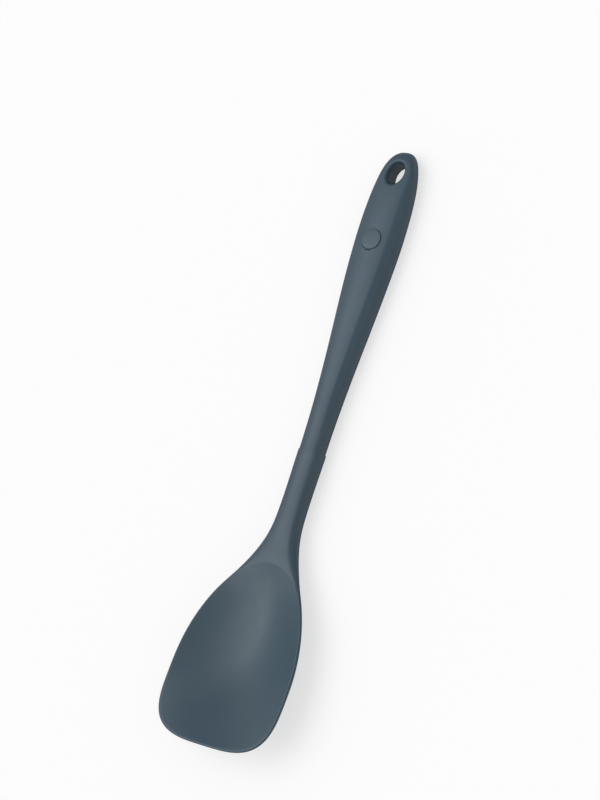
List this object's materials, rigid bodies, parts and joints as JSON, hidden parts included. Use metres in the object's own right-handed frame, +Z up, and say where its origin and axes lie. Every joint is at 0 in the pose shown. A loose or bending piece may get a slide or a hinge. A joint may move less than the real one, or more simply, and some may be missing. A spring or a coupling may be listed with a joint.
{
  "type": "silicone spoon",
  "caption": "Long cooking spoon with a shallow flared bowl, a slim neck and a tapering flat-backed grip with an oval hanging hole, in soft silicone over a stiff core.",
  "frame": {"origin": "middle of the spoon's length and width, on the surface that it lies on", "axes": "+X along the spoon towards the hanging end of the grip, +Y across the bowl, +Z up out of the bowl's hollow"},
  "size_m": [0.2898, 0.065, 0.0197],
  "materials": {
    "grip_silicone": "satin slate-blue silicone",
    "bowl_silicone": "matt slate-blue silicone",
    "core_nylon": "black glass-filled nylon, as moulded",
    "badge_silicone": "satin slate-blue silicone, plain face"
  },
  "bodies": {
    "root": {"grip_skin": "grip_silicone", "bowl_skin": "bowl_silicone", "nylon_core": "core_nylon", "grip_badge": "badge_silicone"}
  },
  "joints": []
}
